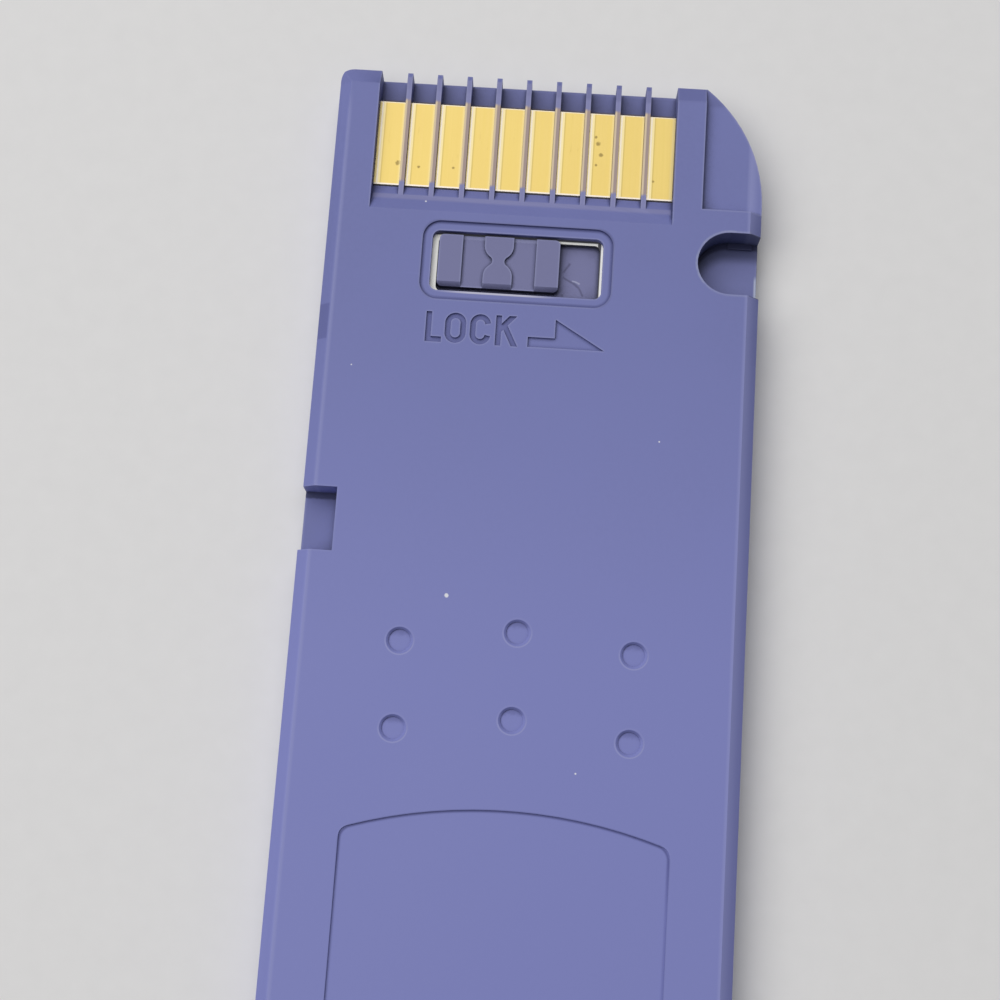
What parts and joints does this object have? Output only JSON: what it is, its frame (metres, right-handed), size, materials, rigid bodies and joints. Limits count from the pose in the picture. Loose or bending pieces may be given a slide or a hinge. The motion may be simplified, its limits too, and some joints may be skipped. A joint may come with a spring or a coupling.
{
  "type": "memory card",
  "caption": "Flat removable memory card with a ribbed row of gold contacts, two side notches, a keyed corner and a sliding write-protect switch.",
  "frame": {"origin": "under the middle of the card, on the surface it lies on, label face down", "axes": "+Y to the contact end, +X across the card towards the keyed corner, +Z out of the contact face"},
  "size_m": [0.0216, 0.05, 0.0028],
  "materials": {
    "front_plastic": "matte violet-blue moulded plastic",
    "rear_plastic": "matte violet-blue moulded plastic with a fine grain",
    "board": "green solder mask",
    "gold_plate": "gold plating, lightly rubbed",
    "white_plastic": "plain white plastic",
    "grey_plastic": "matte grey-violet plastic",
    "spring_metal": "thin rolled spring metal",
    "chip_black": "black moulding compound",
    "lead_metal": "tinned metal",
    "capacitor": "tan ceramic",
    "resistor": "black coated ceramic",
    "resonator": "plated metal can"
  },
  "bodies": {
    "card": {"front_cover": "front_plastic", "rear_cover": "rear_plastic", "circuit_board": "board", "contact_01": "gold_plate", "contact_02": "gold_plate", "contact_03": "gold_plate", "contact_04": "gold_plate", "contact_05": "gold_plate", "contact_06": "gold_plate", "contact_07": "gold_plate", "contact_08": "gold_plate", "contact_09": "gold_plate", "contact_10": "gold_plate", "switch_liner": "white_plastic", "switch_tray": "white_plastic", "switch_pad_open": "gold_plate", "switch_pad_lock": "gold_plate", "switch_pad_common": "gold_plate", "memory_chip": "chip_black", "memory_leads": "lead_metal", "controller_chip": "chip_black", "controller_leads": "lead_metal", "capacitor_1": "capacitor", "capacitor_2": "capacitor", "capacitor_3": "capacitor", "resistor_1": "resistor", "resistor_2": "resistor", "resonator": "resonator"},
    "lock_switch": {"lock_slider": "grey_plastic", "lock_wiper": "spring_metal"}
  },
  "joints": [
    {"name": "lock_slide", "type": "slide", "parent": "card", "child": "lock_switch", "axis": [1, 0, 0], "range_m": [0, 0.0018]}
  ]
}
